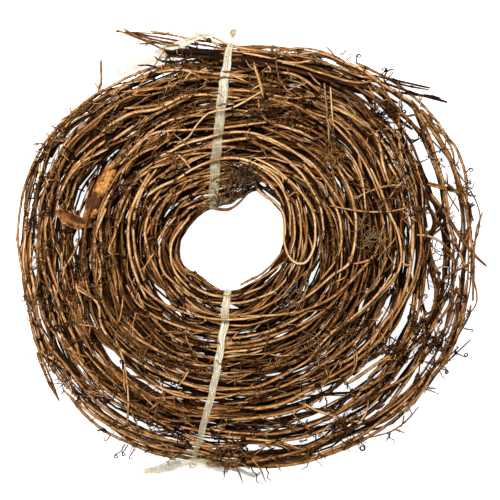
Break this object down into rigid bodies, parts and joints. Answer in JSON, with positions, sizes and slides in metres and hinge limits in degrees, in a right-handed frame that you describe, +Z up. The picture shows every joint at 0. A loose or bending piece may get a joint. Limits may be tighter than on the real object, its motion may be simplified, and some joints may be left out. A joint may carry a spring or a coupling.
{
  "type": "grapevine garland",
  "caption": "Long rope of thin dry vine canes with shoots and curly tendrils, wound flat into a coil round an open hole and held by film ties, with a curled dry leaf",
  "frame": {"origin": "The middle of the underside of the bounding box of the coil as it lies flat", "axes": "+Z up out of the coil's flat side, +Y towards the top tie, where the rope's outer end lies, +X to its right, with the rope winding outward counter-clockwise seen from above"},
  "size_m": [0.4688, 0.4536, 0.0481],
  "materials": {
    "cane_bark": "rough",
    "film": "satin",
    "dry_leaf": "matte"
  },
  "bodies": {
    "root": {"cane_01": "cane_bark", "cane_02": "cane_bark", "cane_03": "cane_bark", "cane_04": "cane_bark", "cane_05": "cane_bark", "cane_06": "cane_bark", "cane_07": "cane_bark", "cane_08": "cane_bark", "cane_09": "cane_bark", "cane_10": "cane_bark", "cane_11": "cane_bark", "cane_12": "cane_bark", "cane_13": "cane_bark", "cane_14": "cane_bark", "cane_15": "cane_bark", "cane_16": "cane_bark", "cane_17": "cane_bark", "cane_18": "cane_bark", "cane_19": "cane_bark", "cane_20": "cane_bark", "cane_21": "cane_bark", "cane_22": "cane_bark", "cane_23": "cane_bark", "cane_24": "cane_bark", "cane_25": "cane_bark", "cane_26": "cane_bark", "cane_27": "cane_bark", "cane_28": "cane_bark", "cane_29": "cane_bark", "cane_30": "cane_bark", "cane_31": "cane_bark", "cane_32": "cane_bark", "loop_cane": "cane_bark", "hole_cane": "cane_bark", "top_cane_1": "cane_bark", "top_cane_2": "cane_bark", "top_cane_3": "cane_bark", "top_cane_4": "cane_bark", "rim_twig": "cane_bark", "film_tie_top": "film", "film_tie_bottom": "film", "dry_leaf": "dry_leaf"}
  },
  "joints": []
}
